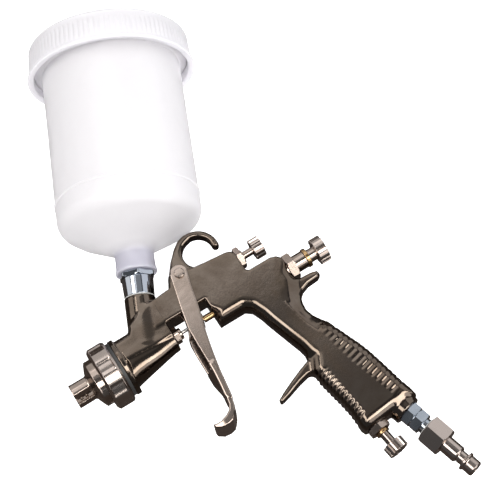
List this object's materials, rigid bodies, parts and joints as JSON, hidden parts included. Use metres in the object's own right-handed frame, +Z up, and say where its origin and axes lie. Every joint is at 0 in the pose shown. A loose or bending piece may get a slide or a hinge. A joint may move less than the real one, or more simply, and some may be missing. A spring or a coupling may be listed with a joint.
{
  "type": "gravity feed spray gun",
  "caption": "Gravity-feed spray gun: dark plated body, horned air cap, two-legged trigger, fluted control knobs, hanging hook, leaning milky cup with a screw lid and a quick-release air plug",
  "frame": {"origin": "the tip of the fluid nozzle, on the barrel's axis", "axes": "+X the way the gun sprays, +Y to the gun's left, +Z up when the barrel is level"},
  "size_m": [0.1809, 0.107, 0.3771],
  "materials": {
    "body": "dark polished plating",
    "nickel": "satin nickel plating",
    "ring": "satin nickel plating",
    "zinc": "bright zinc plating",
    "brass": "turned brass",
    "steel": "turned stainless steel",
    "neck": "polished chrome plating",
    "cup": "milky moulded plastic",
    "lid": "moulded plastic with a fluted rim",
    "seal": "white seal plastic",
    "black": "black rubber"
  },
  "bodies": {
    "gun": {"gun_body": "body", "air_baffle": "black", "fluid_nozzle": "steel", "nozzle_gasket": "brass", "needle_packing": "seal", "packing_nut": "nickel", "needle_spring": "steel", "stem_seal": "seal", "stem_gland": "brass", "valve_seat": "brass", "valve_spring": "steel", "fluid_guide": "nickel", "guide_lock_ring": "brass", "fan_gland": "nickel", "fan_seal": "black", "air_gland": "nickel", "air_gland_ring": "brass", "air_seal": "black", "trigger_pin": "nickel", "trigger_screw": "nickel", "inlet_fitting": "zinc", "inlet_seal": "seal", "quick_plug": "ring"},
    "trigger": {"trigger": "nickel"},
    "stem": {"air_valve_stem": "brass", "valve_poppet": "black"},
    "needle": {"fluid_needle": "steel", "needle_collar": "brass"},
    "cap_carrier": {"cap_clip": "steel"},
    "ring": {"air_cap_ring": "ring"},
    "cap": {"air_cap": "nickel"},
    "fluid_screw": {"fluid_spindle": "nickel"},
    "fluid_knob": {"fluid_knob": "ring"},
    "fan_screw": {"fan_spindle": "nickel"},
    "fan_knob": {"fan_knob": "ring"},
    "air_screw": {"air_spindle": "nickel"},
    "air_knob": {"air_knob": "ring"},
    "cup_carrier": {"port_seal": "seal"},
    "cup": {"cup_adapter": "neck", "cup_filter": "seal", "cup_shell": "cup"},
    "lid_carrier": {"lid_seal": "seal"},
    "lid": {"cup_lid": "lid", "vent_plug": "lid"}
  },
  "joints": [
    {"name": "trigger_pull", "type": "hinge", "parent": "gun", "child": "trigger", "pos_m": [-0.0815, 0, 0.0293], "axis": [0, 1, 0], "range_deg": [0, 12], "stiffness_Nm_per_rad": 2, "springref_deg": -5.73},
    {"name": "stem_draw", "type": "slide", "parent": "gun", "child": "stem", "axis": [-1, 0, 0], "range_m": [0, 0.0063], "deforming": ["valve_spring"]},
    {"name": "needle_draw", "type": "slide", "parent": "gun", "child": "needle", "axis": [-1, 0, 0], "range_m": [0, 0.0051], "deforming": ["needle_spring"]},
    {"name": "ring_travel", "type": "slide", "parent": "gun", "child": "cap_carrier", "axis": [1, 0, 0], "range_m": [0, 0.003]},
    {"name": "ring_turn", "type": "hinge", "parent": "cap_carrier", "child": "ring", "pos_m": [0, 0, 0], "axis": [1, 0, 0], "range_deg": [0, 722]},
    {"name": "cap_turn", "type": "hinge", "parent": "cap_carrier", "child": "cap", "pos_m": [0, 0, 0], "axis": [1, 0, 0], "continuous": true},
    {"name": "fluid_feed", "type": "slide", "parent": "gun", "child": "fluid_screw", "axis": [-1, 0, 0], "range_m": [-0.003, 0.002]},
    {"name": "fluid_turn", "type": "hinge", "parent": "fluid_screw", "child": "fluid_knob", "pos_m": [-0.163, 0, 0], "axis": [-1, 0, 0], "range_deg": [-1082, 722]},
    {"name": "fan_feed", "type": "slide", "parent": "gun", "child": "fan_screw", "axis": [-1, 0, 0], "range_m": [-0.003, 0.001]},
    {"name": "fan_turn", "type": "hinge", "parent": "fan_screw", "child": "fan_knob", "pos_m": [-0.131, 0, 0.022], "axis": [-1, 0, 0], "range_deg": [-1082, 362]},
    {"name": "air_feed", "type": "slide", "parent": "gun", "child": "air_screw", "axis": [-0.1444, 0, -0.9895], "range_m": [-0.0015, 0.002]},
    {"name": "air_turn", "type": "hinge", "parent": "air_screw", "child": "air_knob", "pos_m": [-0.13425, 0, -0.12792], "axis": [-0.1444, 0, -0.9895], "range_deg": [-542, 722]},
    {"name": "cup_travel", "type": "slide", "parent": "gun", "child": "cup_carrier", "axis": [-0.3987, 0, 0.9171], "range_m": [0, 0.0045]},
    {"name": "cup_turn", "type": "hinge", "parent": "cup_carrier", "child": "cup", "pos_m": [-0.05794, 0, 0.04127], "axis": [-0.3987, 0, 0.9171], "range_deg": [0, 1082]},
    {"name": "lid_travel", "type": "slide", "parent": "cup", "child": "lid_carrier", "axis": [-0.3987, 0, 0.9171], "range_m": [0, 0.006]},
    {"name": "lid_turn", "type": "hinge", "parent": "lid_carrier", "child": "lid", "pos_m": [-0.12174, 0, 0.188], "axis": [-0.3987, 0, 0.9171], "range_deg": [0, 542]}
  ],
  "couplings": [
    {"joint": "stem_draw", "follows": "trigger_pull", "m_per_rad": 0.0296},
    {"joint": "needle_draw", "follows": "trigger_pull", "m_per_rad": 0.02368},
    {"joint": "ring_turn", "follows": "ring_travel", "rad_per_m": 4188.8},
    {"joint": "fluid_turn", "follows": "fluid_feed", "rad_per_m": 6283.2},
    {"joint": "fan_turn", "follows": "fan_feed", "rad_per_m": 6283.2},
    {"joint": "air_turn", "follows": "air_feed", "rad_per_m": 6283.2},
    {"joint": "cup_turn", "follows": "cup_travel", "rad_per_m": 4188.8},
    {"joint": "lid_turn", "follows": "lid_travel", "rad_per_m": 1570.8}
  ]
}
